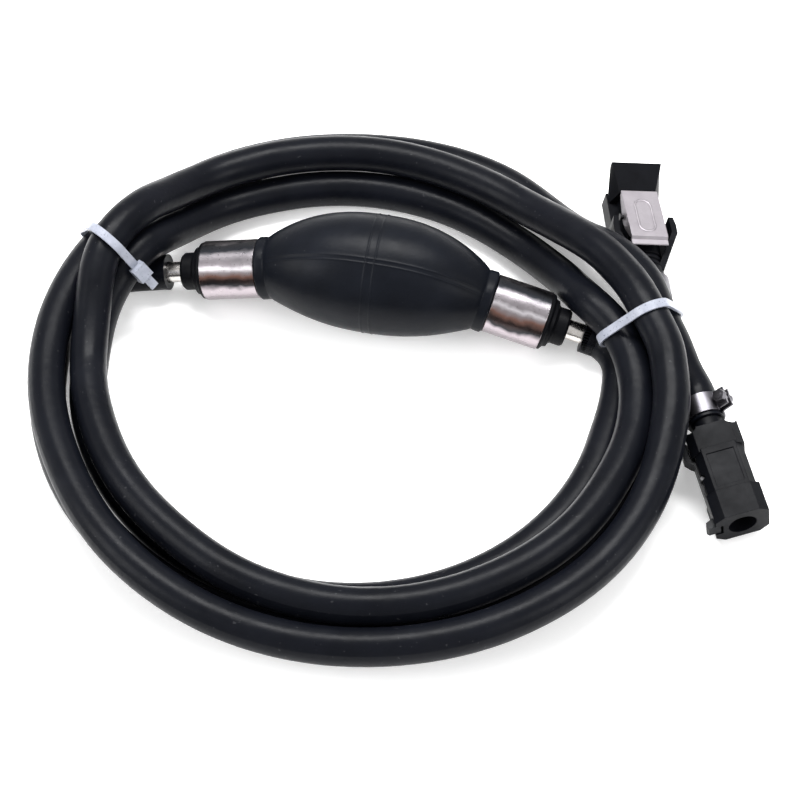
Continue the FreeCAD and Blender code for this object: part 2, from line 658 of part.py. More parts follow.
def make_fuel_path(prefix, place):
    """The hose barb, the spring-loaded poppet and the seal inside a connector."""
    barb = [("passage / 2", "plug_length"), ("plug_dia / 2", "plug_length"),
            ("plug_dia / 2", "slip"), ("plug_dia / 2 - 1", "slip"),
            ("barb_root / 2", "slip - 0.3")]
    for tooth in (1, 2, 3):
        reach = "-barb_length * %d / 3" % tooth
        barb += [("barb_dia / 2", reach + " + 0.5"), ("barb_root / 2", reach)]
    turned(prefix + "_hose_barb", place, barb + [("passage / 2", "-barb_length")])

    head = "chamber_end - slip"
    poppet = [(0, "poppet_reach"), ("poppet_nose / 2 - 0.5", "poppet_reach"),
              ("poppet_nose / 2", "poppet_reach - 0.6"), ("poppet_nose / 2", head),
              ("poppet_head / 2", head), ("poppet_head / 2", head + " - 1.6"),
              ("poppet_nose / 2 - 0.6", head + " - 1.6"),
              ("poppet_nose / 2 - 0.6", head + " - 4.6"), (0, head + " - 4.6")]
    turned(prefix + "_poppet", place, poppet)
    coil_spring(prefix + "_poppet_spring", place, size("poppet_spring_dia"),
                size("poppet_wire"), size("plug_length + valve_gap"),
                size(head + " - 1.6 - valve_gap"), 7)
    seal = doc.addObject("Part::Torus", prefix + "_o_ring")
    seal.Label = prefix + "_o_ring"
    seal.setExpression("Radius1", spelled(prefix + "_socket / 2 + 0.3"))
    seal.setExpression("Radius2", spelled("ring_wire / 2"))
    seal.Placement = shifted(place, y=size("ring_groove"), turn=UP_TO_ALONG)
    parts.append(seal)


def bore_connector(body, prefix, catch_end=None):
    """The stepped bore that every connector has, a little narrower up to the catch's end."""
    socket = prefix + "_socket / 2"
    groove = "( " + socket + " + 0.3 + ring_wire / 2 + valve_gap )"
    edge = "ring_wire / 2 + slip"
    throat = socket + " - throat_step" if catch_end else socket
    opening = [(throat, catch_end), (socket, catch_end)] if catch_end else []
    revolve(body, [
        (0, -1), ("plug_dia / 2 + valve_gap", -1),
        ("plug_dia / 2 + valve_gap", "plug_length + valve_gap"),
        ("chamber_dia / 2", "plug_length + valve_gap"), ("chamber_dia / 2", "chamber_end"),
        ("seat_bore / 2", "chamber_end"), ("seat_bore / 2", "seat_end"),
        (throat, "seat_end"), (throat, "ring_groove - ( " + edge + " )"),
        (groove, "ring_groove - ( " + edge + " )"), (groove, "ring_groove + " + edge),
        (throat, "ring_groove + " + edge)] + opening + [
        (socket, "mouth + 1"), (0, "mouth + 1")], "Groove")


def make_tank_connector(place):
    body = new_body("tank_connector_body", place)
    # The funnel-shaped floor, seen from above.
    base = new_sketch(body, "XY_Plane", "-tank_depth")
    outline(base, mirrored([("throat_half", 2.5), ("cheek_half", "cheek_y"),
                            ("cheek_half", "cheek_y + 5"), ("tank_half", "cheek_end"),
                            ("tank_half", "mouth")]))
    extrude("Pad", body, base, "tank_depth")
    # Two cheeks that guard the near end of the lever.
    for side in (1, -1):
        cheek = new_sketch(body, "XY_Plane", "-1")
        inside = "cheek_half - cheek_wall"
        half = [("throat_half", 2.5), ("cheek_half", "cheek_y"),
                ("cheek_half", "cheek_y + 5"), ("cheek_half - 0.8", "cheek_end"),
                (inside + " - 0.4", "cheek_end"), (inside, "cheek_y + 4.6"),
                (inside, "cheek_y + 0.6"), ("throat_half - 2.4", 4)]
        outline(cheek, half if side > 0 else mirrored(half)[len(half):])
        extrude("Pad", body, cheek, "cheek_top + 1")
    # The cheeks' tops fall away towards the hose.
    slope = new_sketch(body, "YZ_Plane")
    outline(slope, [(0, "cheek_top + 5"), (0, 4.5), (6, 5), (12, 6.6), (17, 8.4),
                    ("cheek_y", "cheek_top"), ("cheek_y", "cheek_top + 5")])
    extrude("Pocket", body, slope, 60, symmetric=True)
    # The ribbed neck and the barrel behind it.
    ribs = [(0, "slip"), (7.2, "slip"), (7.2, 4.4)]
    for rib in range(3):
        near = 5.0 + 2.6 * rib
        swell = 6.9 + 0.3 * rib
        ribs += [(6.3, near - 0.4), (6.3, near + 0.3), (swell, near + 0.7), (swell, near + 2.0)]
    ribs += [(7.6, "block_start"), (7.6, "mouth"), (0, "mouth")]
    revolve(body, ribs)
    # The block under the lever.
    block = new_sketch(body, "XY_Plane", "-1")
    outline(block, mirrored([("block_half", "block_start"), ("block_half", "hood_start + 1")]))
    extrude("Pad", body, block, "block_top + 1")
    # The raised hood over the mouth widens and climbs outwards.
    near = new_sketch(body, "XZ_Plane", "-hood_start")
    outline(near, [("-tank_half", -1), ("tank_half", -1), ("block_half + 1", "hood_low"),
                   ("-( block_half + 1 )", "hood_low")])
    far = new_sketch(body, "XZ_Plane", "-hood_end")
    outline(far, [("-hood_half", "hood_high - hood_thick"), ("hood_half", "hood_high - hood_thick"),
                  ("hood_half", "hood_high"), ("-hood_half", "hood_high")])
    hood = body.newObject("PartDesign::AdditiveLoft", "tank_hood")
    hood.Profile = near
    hood.Sections = [far]
    hood.Ruled = True
    finish(body, hood)
    # Room in front of the mouth for the fitting that plugs in.
    room = new_sketch(body, "XZ_Plane", "-mouth")
    ring(room, "tank_socket / 2 + 3.6")
    extrude("Pocket", body, room, 20, towards=-1)
    # Lever pin hole, the slot for the lever's catch and the seat of its spring.
    hole = new_sketch(body, "YZ_Plane")
    ring(hole, "pin_dia / 2 + valve_gap", "pin_y", "pin_z")
    extrude("Pocket", body, hole, 60, symmetric=True)
    slot = new_sketch(body, "XY_Plane", 3)
    outline(slot, mirrored([(3.6, 39.2), (3.6, "slot_end")]))
    extrude("Pocket", body, slot, 12, towards=1)
    seat = new_sketch(body, "XY_Plane", 5.6)
    ring(seat, 2.2, 0, 24)
    extrude("Pocket", body, seat, 12, towards=1)
    bore_connector(body, "tank", "slot_end")
    make_fuel_path("tank", place)

    pin = turned("tank_lever_pin", shifted(place, y=size("pin_y"), z=size("pin_z"),
                                           turn=Rotation(Vector(0, 0, 1), 90)), [
        (0, "-pin_length / 2"), ("pin_dia / 2", "-pin_length / 2"),
        ("pin_dia / 2", "pin_length / 2 - 0.8"), ("pin_dia / 2 + 0.5", "pin_length / 2 - 0.8"),
        ("pin_dia / 2 + 0.5", "pin_length / 2"), (0, "pin_length / 2")])
    make_tank_lever(place)
    coil_spring("tank_lever_spring", shifted(place, y=24, turn=Rotation(Vector(1, 0, 0), 90)),
                4.0, 0.6, 5.7, 10.7, 4)
    return pin


def make_tank_lever(place):
    """A folded sheet cover: sloping top, rolled near edge, side flanges and a catch."""
    lever = new_body("tank_lever", place)
    fall = "( lever_near_z - lever_far_z ) / ( lever_far - lever_near )"
    bend = "lever_near + 3.6"
    top = "lever_near_z - 3.6 * " + fall
    profile = new_sketch(lever, "YZ_Plane")
    outline(profile, [
        ("lever_far", "lever_far_z"), (bend, top), ("lever_near + 2.6", top + " - 1.4"),
        ("lever_near + 0.3", top + " - 1.3"), ("lever_near", top + " - 1.7"),
        ("lever_near + 0.2", top + " - 2.2"), ("lever_near + 3.2", top + " - 2.3"),
        (bend + " + 0.6", top + " - lever_sheet - 0.1"),
        ("lever_far", "lever_far_z - lever_sheet")])
    extrude("Pad", lever, profile, "lever_half * 2", symmetric=True)
    flange = [("lever_far - 0.6", "lever_far_z - 0.2"), (17.0, "lever_near_z - 0.8"),
              (17.0, 9.6), (25.6, 5.2), (28.6, "pin_z - 1.9"), (33.4, "pin_z - 1.9"),
              (36.0, 5.6), ("lever_far - 0.6", 7.6)]
    for side in (1, -1):
        start = "lever_half - lever_sheet" if side > 0 else "-lever_half"
        sketch = new_sketch(lever, "YZ_Plane", start)
        outline(sketch, flange)
        extrude("Pad", lever, sketch, "lever_sheet")
    tooth = new_sketch(lever, "YZ_Plane")
    outline(tooth, [(40.4, "lever_far_z - 0.4"), (40.4, 4.6), (41.6, 4.0), (42.0, 4.0),
                    (42.0, "lever_far_z - 0.4")])
    extrude("Pad", lever, tooth, 6, symmetric=True)
    hole = new_sketch(lever, "YZ_Plane")
    ring(hole, "pin_dia / 2 + valve_gap", "pin_y", "pin_z")
    extrude("Pocket", lever, hole, 60, symmetric=True)
    return lever


def make_engine_connector(place):
    body = new_body("engine_connector_body", place)

    def slab(start, end, half, side_height, flat_half, height):
        """A stretch with a flat top and bottom and chamfered long edges."""
        sketch = new_sketch(body, "XZ_Plane", "-( " + start + " )")
        outline(sketch, [(half, side_height), (flat_half, height),
                         ("-( " + flat_half + " )", height), ("-( " + half + " )", side_height),
                         ("-( " + half + " )", -side_height), ("-( " + flat_half + " )", -height),
                         (flat_half, -height), (half, -side_height)])
        extrude("Pad", body, sketch, "( " + end + " ) - ( " + start + " )", towards=-1)

    slab("shoulder_end - 1", "front_start + 1", "barrel_half", 5.2, "barrel_half - 3", 8.6)
    slab("shoulder_start", "shoulder_end", "shoulder_half", 5.0, "shoulder_half - 3.2", 8.2)
    slab("front_start", "mouth", "front_half", 6.4, "front_half - 4", 9.6)
    revolve(body, [(0, "slip"), (6.7, "slip"), (6.7, 4), (7.2, 5), (7.2, 20), (0, 20)])
    # Hollows either side of the neck leave the shoulder with two swept-back corners.
    for side in (1, -1):
        hollow = new_sketch(body, "XY_Plane")
        ring(hollow, 2.6, side * 8.7, "shoulder_start - 0.6")
        extrude("Pocket", body, hollow, 40, symmetric=True)
    # A shallow recess in the top and bottom faces of the barrel.
    for side in (1, -1):
        face = new_sketch(body, "XY_Plane", 8.2 * side)
        outline(face, mirrored([("barrel_half - 4.4", "shoulder_end + 2"),
                                ("barrel_half - 4.4", "front_start - 2")]))
        extrude("Pocket", body, face, 2, towards=side)
    # The channel for the latch, its pin hole and the pocket for its spring.
    channel = new_sketch(body, "XY_Plane")
    outline(channel, [("latch_floor + 1", 2), (20, 2), (20, "mouth + 2"),
                      ("latch_floor", "mouth + 2"), ("latch_floor", "shoulder_end + 1"),
                      ("latch_floor + 1", "shoulder_end + 1")])
    extrude("Pocket", body, channel, "latch_slot", symmetric=True)
    hole = new_sketch(body, "XY_Plane")
    ring(hole, "pin_dia / 2 + valve_gap", "latch_x", "latch_y")
    extrude("Pocket", body, hole, 40, symmetric=True)
    pocket = new_sketch(body, "YZ_Plane", "latch_floor - 1.2")
    ring(pocket, 1.5, 12, 0)
    extrude("Pocket", body, pocket, 6, towards=1)
    bore_connector(body, "engine")
    make_fuel_path("engine", place)

    latch = new_body("engine_latch", place)
    plan = new_sketch(latch, "XY_Plane")
    outline(plan, [
        (11.9, "shoulder_start + 0.4"), (13.6, "shoulder_start + 0.4"), (14.6, 6.6),
        (14.6, 15.4), (12.6, 18.0), (11.3, 19.0), (11.3, 45.0), (14.6, 46.4),
        (15.0, 48.6), (14.2, 49.6), (9.2, 49.6), (8.8, 48.6), (8.8, 23.0), (9.7, 18.2),
        (11.9, 15.6)])
    extrude("Pad", latch, plan, "latch_height", symmetric=True)
    hole = new_sketch(latch, "XY_Plane")
    ring(hole, "pin_dia / 2 + valve_gap", "latch_x", "latch_y")
    extrude("Pocket", latch, hole, 40, symmetric=True)
    stand = Rotation(Vector(1, 0, 0), 90)
    turned("engine_latch_pin", shifted(place, x=size("latch_x"), y=size("latch_y"),
                                       turn=stand), [
        (0, "-latch_pin_length / 2"), ("pin_dia / 2", "-latch_pin_length / 2"),
        ("pin_dia / 2", "latch_pin_length / 2"), (0, "latch_pin_length / 2")])
    coil_spring("engine_latch_spring", shifted(place, y=12, turn=Rotation(Vector(0, 0, 1), -90)),
                2.2, 0.35, size("latch_floor - 1.15"), 11.85, 5)


# ---------------------------------------------------------------- cable ties

def crossings(routes, point, facing):
    """Where the hoses pass through a plane near a point, and how squarely."""
    found = []
    for route in routes:
        edge = route.Shape.Edges[0]
        samples = edge.discretize(Number=int(edge.Length / 2))
        for before, after in zip(samples, samples[1:]):
            low = (before - point).dot(facing)
            high = (after - point).dot(facing)
            near = (before - point).Length < TIE_REACH and before.z > TIE_LOWEST
            if low * high <= 0 and low != high and near:
                meet = before + (after - before) * (low / (low - high))
                found.append((meet, abs((after - before).normalize().dot(facing))))
    return found


def hull(points):
    """The outside corners of a set of flat points, anticlockwise."""
    points = sorted(set(points))

    def chain(run):
        kept = []
        for p in run:
            while len(kept) > 1 and turn_left(kept[-2], kept[-1], p) <= 0:
                kept.pop()
            kept.append(p)
        return kept[:-1]

    return chain(points) + chain(points[::-1])


def turn_left(a, b, c):
    return (b[0] - a[0]) * (c[1] - a[1]) - (b[1] - a[1]) * (c[0] - a[0])


def make_tie(label, routes, point, facing, inward, share, head_angle, tail_length):
    """A strap pulled round the bundle, with its ratchet head and cut tail.

    The strap lies in a plane: local X points to the inside of the coil, local Y up.
    """
    point = point + Vector(size("coil_x"), size("coil_y"), 0)
    facing = Vector(facing).normalize()
    across = (inward - facing * inward.dot(facing)).normalize()
    if facing.cross(across).z < 0:
        facing = facing * -1
    place = Placement(point, Rotation(across, facing.cross(across), facing, "ZXY"))
    back = place.inverse()
    passes = crossings(routes, point, facing)
    flat = [back.multVec(meet) for meet, _ in passes]
    corners = hull([(p.x, p.y) for p in flat])
    slant = min(square for _, square in passes)
    inside = size("hose_od") / 2 / slant + size("tie_slack")
    centres = [Vector(x, y, 0) for x, y in corners]
    loop = Part.makePolygon(centres + centres[:1])
    half = size("tie_width") / 2
    faces = []
    for gap in (inside, inside + size("tie_thick")):
        faces.append(Part.Face(loop.makeOffset2D(gap, join=0)))
    strap = faces[1].cut(faces[0]).extrude(Vector(0, 0, 2 * half))
    strap.translate(Vector(0, 0, -half))

    inner = Vector(*max(corners), 0)
    outer = Vector(*min(corners), 0)
    lean = math.radians(head_angle)
    out = Vector(math.cos(lean), math.sin(lean), 0)
    run = Vector(math.sin(lean), -math.cos(lean), 0)
    seat = inner + (outer - inner) * share + out * (inside + size("tie_thick") / 2)
    head = box_at(seat, run, out, size("head_length"), size("head_height"), size("head_width"))
    tail = box_at(seat + run * (size("head_length") + tail_length - 1) / 2
                  + out * size("tie_thick"), run, out,
                  tail_length, size("tie_thick"), size("tie_width"))
    whole = strap.fuse([head, tail]).removeSplitter()
    tie = doc.addObject("Part::Feature", label)
    tie.Label = label
    tie.Shape = whole
    tie.Placement = place
    parts.append(tie)


def box_at(foot, run, out, length, height, width):
    """A block standing on a point, its length along run and its height along out."""
    block = Part.makeBox(length, height, width, Vector(-length / 2, 0, -width / 2))
    block.Placement = Placement(foot, Rotation(run, out, run.cross(out), "XYZ"))
    return block.copy()


# ---------------------------------------------------------------- the whole line

def check(thing):
    for item in doc.Objects:
        if "Invalid" in item.State or "Error" in item.State:
            raise RuntimeError("%s did not rebuild" % item.Name)
    for part in thing:
        shape = part.Shape
        if shape.isNull() or not shape.isValid() or shape.Volume <= 0 or not shape.Solids:
            raise RuntimeError("%s has no valid solid" % part.Label)


def main():
    fill_sheet()
    outlet = bulb_frame(size("bulb_reach"))
    inlet = bulb_frame(-size("bulb_reach"))
    make_bulb()
    make_bulb_end("outlet", outlet)
    make_bulb_end("inlet", inlet)

    tip, outward = bulb_point(size("bulb_reach + hose_start"))
    start = stub(ENGINE_END, ENGINE_AXIS * -1)
    engine_route = make_hose("engine_hose", start + lane_points(LONG_LANES)
                             + LONG_TURN_IN + stub(tip, outward, NIPPLE_STUB)[::-1])
    tip, outward = bulb_point(-size("bulb_reach + hose_start"))
    tank_route = make_hose("tank_hose", stub(tip, outward, NIPPLE_STUB) + SHORT_TURN_OUT
                           + lane_points(SHORT_LANES) + SHORT_RISE
                           + stub(TANK_END, TANK_AXIS * -1)[::-1])

    tank = frame(TANK_END, TANK_AXIS, TANK_ROLL)
    engine = frame(ENGINE_END, ENGINE_AXIS, ENGINE_ROLL)
    make_tank_connector(tank)
    make_engine_connector(engine)
    screws = []
    nuts = []
    for name, end, ear_turn in (("tank", tank, TANK_EAR), ("engine", engine, ENGINE_EAR)):
        screw, nut = make_clamp(name, end, ear_turn)
        screws.append(screw)
        nuts.append(nut)
    group("clamp_screws", screws)
    group("clamp_nuts", nuts)
    for label, *details in TIES:
        make_tie(label, (engine_route, tank_route), *details)

    doc.recompute()
    check(parts)
    os.makedirs("parts", exist_ok=True)
    for part in parts:
        part.Shape.exportStep(os.path.join("parts", part.Label + ".step"))


main()
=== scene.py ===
import json
import math
import bpy
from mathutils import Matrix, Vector


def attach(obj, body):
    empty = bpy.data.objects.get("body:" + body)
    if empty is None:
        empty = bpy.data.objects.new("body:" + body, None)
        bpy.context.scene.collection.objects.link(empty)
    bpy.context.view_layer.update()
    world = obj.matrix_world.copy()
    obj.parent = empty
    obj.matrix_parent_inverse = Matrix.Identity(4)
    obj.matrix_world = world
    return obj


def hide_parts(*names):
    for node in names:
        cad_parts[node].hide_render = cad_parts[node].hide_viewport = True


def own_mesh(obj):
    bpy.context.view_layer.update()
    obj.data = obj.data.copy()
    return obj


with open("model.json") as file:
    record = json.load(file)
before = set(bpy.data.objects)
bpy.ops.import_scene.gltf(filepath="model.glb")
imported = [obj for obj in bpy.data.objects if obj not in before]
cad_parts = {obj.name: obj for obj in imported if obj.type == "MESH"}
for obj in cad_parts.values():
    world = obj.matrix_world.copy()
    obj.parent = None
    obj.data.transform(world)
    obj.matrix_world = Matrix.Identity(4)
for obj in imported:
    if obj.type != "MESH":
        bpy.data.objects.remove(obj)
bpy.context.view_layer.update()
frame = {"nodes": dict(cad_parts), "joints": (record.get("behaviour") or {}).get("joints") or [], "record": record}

# Lengths are in metres. The bulb's numbers are those of the CAD part.
MM = 0.001
COIL = Vector((-16.0, 1.4, 0.0)) * MM
BULB_MIDDLE = Vector((8.6, 47.4, 26.2)) * MM + COIL
BULB_HEADING = math.radians(-10.8)
BULB_RADIUS = 26.0 * MM
COLLAR_RADIUS = 13.7 * MM
BULB_HALF = 46.5 * MM
BULB_REACH = 51.0 * MM
BULB_STRAIGHT = 5.0 * MM
BULB_BENT = 43.0 * MM
SHOULDER_POWER = 2.3
OUTLET_AXIS = Vector((0.946, -0.2416, -0.216)).normalized()
INLET_AXIS = Vector((-0.969, 0.122, -0.216)).normalized()

# The mould's marks on the bulb: two fine ridges along each seam and round the middle, and a
# groove where each collar starts.
SEAM_ANGLE = math.radians(63)
SEAM_SPACING, SEAM_WIDTH, SEAM_HEIGHT = 1.1 * MM, 0.4 * MM, 0.2 * MM
BELT_SPACING, BELT_WIDTH, BELT_HEIGHT = 1.9 * MM, 0.42 * MM, 0.22 * MM
GROOVE_PLACE, GROOVE_WIDTH, GROOVE_DEPTH = 46.8 * MM, 0.7 * MM, 0.25 * MM
RIM_LENGTH, RIM_SLOPE = 0.6 * MM, 0.9
FADE_SHORT, FADE_POWER = 2 * MM, 8

# The lever's sheet in the connector's frame: along the fuel path (y) and above it (z).
PIN_Y, PIN_Z = 31.0 * MM, 6.4 * MM
LEVER_NEAR_Y, LEVER_NEAR_Z = 11.8 * MM, 12.8 * MM
LEVER_FALL = (12.8 - 10.2) / (43.2 - 11.8)
EMBOSS_MIDDLE, EMBOSS_LONG, EMBOSS_WIDE = 28.0 * MM, 9.5 * MM, 3.6 * MM
EMBOSS_SECTION = [(-0.75, -0.25), (-0.45, 0.2), (-0.15, 0.32), (0.15, 0.32), (0.45, 0.2),
                  (0.75, -0.25)]
EMBOSS_STEPS = 72


# ---------------------------------------------------------------- node materials

class Look:
    """A procedural material: a Principled shader fed by noise at a stated size."""

    def __init__(self, name):
        self.material = bpy.data.materials.new(name)
        self.material.use_nodes = True
        self.tree = self.material.node_tree
        self.shader = self.tree.nodes["Principled BSDF"]
        self.place = self.tree.nodes.new("ShaderNodeTexCoord").outputs["Object"]

    def add(self, kind, **values):
        node = self.tree.nodes.new(kind)
        for name, value in values.items():
            if name in node.inputs:
                node.inputs[name].default_value = value
            else:
                setattr(node, name, value)
        return node

    def link(self, source, target):
        self.tree.links.new(source, target)

    def noise(self, size, detail=3.0, stretch=(1, 1, 1), roughness=0.55):
        """Noise whose grains are about size metres across."""
        mapping = self.add("ShaderNodeMapping")
        mapping.inputs["Scale"].default_value = [s / size for s in stretch]
        noise = self.add("ShaderNodeTexNoise", Scale=1.0, Detail=detail, Roughness=roughness)
        self.link(self.place, mapping.inputs["Vector"])
        self.link(mapping.outputs["Vector"], noise.inputs["Vector"])
        return noise.outputs["Fac"]

    def ramp(self, source, *stops):
        ramp = self.add("ShaderNodeValToRGB")
        elements = ramp.color_ramp.elements
        while len(elements) < len(stops):
            elements.new(0.5)
        for element, (position, colour) in zip(elements, stops):
            element.position = position
            if isinstance(colour, (int, float)):
                colour = (colour, colour, colour)
            element.color = tuple(colour) + (1.0,)
        self.link(source, ramp.inputs["Fac"])
        return ramp.outputs["Color"]

    def scaled(self, source, factor, offset):
        """source times factor, plus an offset that is a number or another source."""
        scaled = self.add("ShaderNodeMath", operation="MULTIPLY_ADD")
        self.link(source, scaled.inputs[0])
        scaled.inputs[1].default_value = factor
        if isinstance(offset, float):
            scaled.inputs[2].default_value = offset
        else:
            self.link(offset, scaled.inputs[2])
        return scaled.outputs[0]

    def mix(self, share, first, second):
        mix = self.add("ShaderNodeMix", data_type="RGBA")
        self.link(share, mix.inputs[0])
        for source, place in ((first, 6), (second, 7)):
            if isinstance(source, tuple):
                mix.inputs[place].default_value = source + (1.0,)
            else:
                self.link(source, mix.inputs[place])
        return mix.outputs[2]

    def bump(self, heights, edge):
        """Fine relief over softly rounded edges: heights is (source, metres) pairs."""
        normal = self.add("ShaderNodeBevel", Radius=edge, samples=4).outputs["Normal"]
        for source, distance in heights:
            bump = self.add("ShaderNodeBump", Distance=distance, Strength=1.0)
            self.link(source, bump.inputs["Height"])
            self.link(normal, bump.inputs["Normal"])
            normal = bump.outputs["Normal"]
        self.link(normal, self.shader.inputs["Normal"])

    def set(self, **values):
        for name, value in values.items():
            socket = self.shader.inputs[name.replace("_", " ")]
            if hasattr(value, "links"):
                self.link(value, socket)
            else:
                socket.default_value = value


def rubber_look(name, dark, light, rough, dust, edge=0.2 * MM):
    """Extruded or moulded rubber: cloudy sheen, fine grain and a few specks of dust."""
    look = Look(name)
    cloud = look.noise(22 * MM)
    fine = look.noise(0.9 * MM, detail=5)
    specks = look.noise(1.6 * MM, detail=1, roughness=0.2)
    speck = look.ramp(specks, (0.0, 0.0), (dust, 0.0), (dust + 0.04, 0.22))
    base = look.ramp(cloud, (0.3, dark), (0.7, light))
    grey = (0.07, 0.07, 0.075)
    look.set(Base_Color=look.mix(speck, base, grey))
    look.set(Roughness=look.ramp(look.noise(9 * MM), (0.25, rough - 0.06), (0.75, rough + 0.08)))
    look.set(Specular_IOR_Level=0.07)
    look.bump([(fine, 0.03 * MM), (look.noise(14 * MM), 0.25 * MM)], edge)
    return look.material


def plastic_look(name, dark, light, rough, grain=0.5 * MM, relief=0.02 * MM, edge=0.35 * MM):
    """Moulded plastic: fine spark texture, faint rubbed patches and softened edges."""
    look = Look(name)
    rubbed = look.noise(11 * MM, detail=6, roughness=0.7)
    look.set(Base_Color=look.ramp(rubbed, (0.35, dark), (0.72, light)))
    look.set(Roughness=look.ramp(rubbed, (0.3, rough + 0.07), (0.75, rough - 0.07)))
    look.set(Specular_IOR_Level=0.06)
    look.bump([(look.noise(grain, detail=4), relief)], edge)
    return look.material


def metal_look(name, dark, light, rough, grain, relief, stretch=(1, 1, 1), edge=0.2 * MM):
    """Sheet or turned metal: brushed grain and uneven tarnish."""
    look = Look(name)
    tarnish = look.noise(15 * MM, detail=4, roughness=0.6)
    look.set(Base_Color=look.ramp(tarnish, (0.3, dark), (0.7, light)), Metallic=1.0)
    streak = look.noise(grain, detail=4, stretch=stretch)
    look.set(Roughness=look.ramp(streak, (0.3, rough - 0.05), (0.7, rough + 0.07)))
    look.bump([(streak, relief)], edge)
    return look.material


# Painted reflection: polished sleeves would mirror a dark studio in bands, so these bands are painted into their
# colour, from their underside (0) to their top (1).
FROM_BELOW_TO_ABOVE = (0.0, 0.81, 0.59)
SLEEVE_PAINTED_REFLECTION = [(0.14, (0.34, 0.30, 0.32)), (0.21, (0.03, 0.03, 0.033)),
                (0.29, (0.05, 0.035, 0.033)), (0.36, (0.20, 0.11, 0.09)),
                (0.43, (0.28, 0.25, 0.26)), (0.49, (0.62, 0.59, 0.62)),
                (0.55, (0.25, 0.23, 0.245)), (0.74, (0.15, 0.14, 0.15)),
                (0.80, (0.03, 0.032, 0.038)), (0.90, (0.04, 0.04, 0.045)),
                (0.95, (0.25, 0.23, 0.24))]
PAINTED_BAND_WANDER = 0.22
PAINTED_BAND_MIDDLE = 0.39


def sleeve_look():
    """Polished steel sleeves, crimped a little unevenly, with painted reflection bands in their colour."""
    look = Look("sleeve_steel_look")
    facing = look.add("ShaderNodeVectorMath", operation="DOT_PRODUCT")
    look.link(look.add("ShaderNodeNewGeometry").outputs["Normal"], facing.inputs[0])
    facing.inputs[1].default_value = FROM_BELOW_TO_ABOVE
    wander = look.scaled(look.noise(9 * MM, detail=2), PAINTED_BAND_WANDER, PAINTED_BAND_MIDDLE)
    height = look.scaled(facing.outputs["Value"], 0.5, wander)
    # Painted reflection: bright and dark bands of colour, set by which way each face points.
    look.set(Base_Color=look.ramp(height, *SLEEVE_PAINTED_REFLECTION), Metallic=1.0)
    look.set(Roughness=look.ramp(look.noise(1.2 * MM, detail=5), (0.3, 0.26), (0.8, 0.38)))
    waves = look.noise(8 * MM, detail=1, stretch=(0.5, 1, 1))
    look.bump([(look.noise(0.5 * MM, detail=4), 0.01 * MM), (waves, 0.2 * MM)], 0.3 * MM)
    return look.material


def tie_look():
    """Natural nylon: pale, a little see-through, with a faint bumpy grain."""
    look = Look("tie_nylon_look")
    cloudy = look.noise(4 * MM)
    look.set(Base_Color=look.ramp(cloudy, (0.3, (0.27, 0.29, 0.35)), (0.7, (0.38, 0.40, 0.47))))
    look.set(Roughness=look.ramp(look.noise(1 * MM), (0.3, 0.25), (0.7, 0.42)))
    look.set(Transmission_Weight=0.25, IOR=1.5)
    look.bump([(look.noise(1.2 * MM, detail=1), 0.06 * MM)], 0.3 * MM)
    return look.material


BLACK = (0.0020, 0.0022, 0.0030)
LOOKS = {
    "hose_rubber": rubber_look("hose_rubber_look", (0.0024, 0.0028, 0.0044),
                               (0.0042, 0.0048, 0.0072), 0.33, 0.76),
    "bulb_rubber": rubber_look("bulb_rubber_look", (0.0026, 0.0032, 0.0050),
                               (0.0048, 0.0058, 0.0088), 0.37, 0.80),
    "sleeve_steel": sleeve_look(),
    "bush_plastic": plastic_look("bush_plastic_look", BLACK, (0.004, 0.004, 0.005), 0.42),
    "bright_metal": metal_look("bright_metal_look", (0.50, 0.47, 0.44), (0.74, 0.72, 0.70), 0.22,
                               0.6 * MM, 0.02 * MM),
    "seal_rubber": rubber_look("seal_rubber_look", BLACK, (0.012, 0.012, 0.013), 0.55, 0.8),
    "spring_steel": metal_look("spring_steel_look", (0.42, 0.42, 0.43), (0.62, 0.62, 0.62), 0.3,
                               0.4 * MM, 0.01 * MM),
    "valve_plastic": plastic_look("valve_plastic_look", (0.52, 0.51, 0.47), (0.66, 0.65, 0.61),
                                  0.4),
    "clamp_steel": metal_look("clamp_steel_look", (0.07, 0.068, 0.076), (0.16, 0.155, 0.17), 0.36,
                              0.5 * MM, 0.02 * MM),
    "connector_plastic": plastic_look("connector_plastic_look", (0.0016, 0.0018, 0.0027),
                                      (0.0042, 0.0046, 0.0062), 0.44),
    "lever_steel": metal_look("lever_steel_look", (0.26, 0.24, 0.26), (0.34, 0.32, 0.34), 0.48,
                              0.35 * MM, 0.012 * MM, stretch=(0.25, 1, 1)),
    "latch_plastic": plastic_look("latch_plastic_look", (0.004, 0.0043, 0.0055),
                                  (0.011, 0.012, 0.014), 0.34),
    "pin_steel": metal_look("pin_steel_look", (0.02, 0.02, 0.021), (0.05, 0.05, 0.052), 0.45,
                            0.5 * MM, 0.01 * MM),
    "tie_nylon": tie_look(),
}

for entry in frame["record"]["subparts"]:
    node = frame["nodes"][entry["node"]]
    node.data.materials.clear()
    node.data.materials.append(LOOKS[entry["material_slot"]])


# ---------------------------------------------------------------- pieces built here

def skin_faces(rings, count, looped=False):
    """Faces between rings of count points: capped at both ends, or looped back to the first."""
    faces = []
    for k in range(rings if looped else rings - 1):
        here, there = k * count, (k + 1) % rings * count
        for i in range(count):
            j = (i + 1) % count
            faces.append((here + i, here + j, there + j, there + i))
    if not looped:
        faces.append(tuple(reversed(range(count))))
        faces.append(tuple(range((rings - 1) * count, rings * count)))
    return faces


def ride_on(name, rings, body, slot, looped=False):
    """A smooth skin through rings of points, riding on a CAD body."""
    points = [point for ring in rings for point in ring]
    faces = skin_faces(len(rings), len(rings[0]), looped)
    mesh = bpy.data.meshes.new(name)
    mesh.from_pydata([tuple(point) for point in points], [], faces)
    mesh.validate()
    mesh.shade_smooth()
    mesh.materials.append(LOOKS[slot])
    piece = bpy.data.objects.new(name, mesh)
    bpy.context.scene.collection.objects.link(piece)
    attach(piece, body)
    return piece


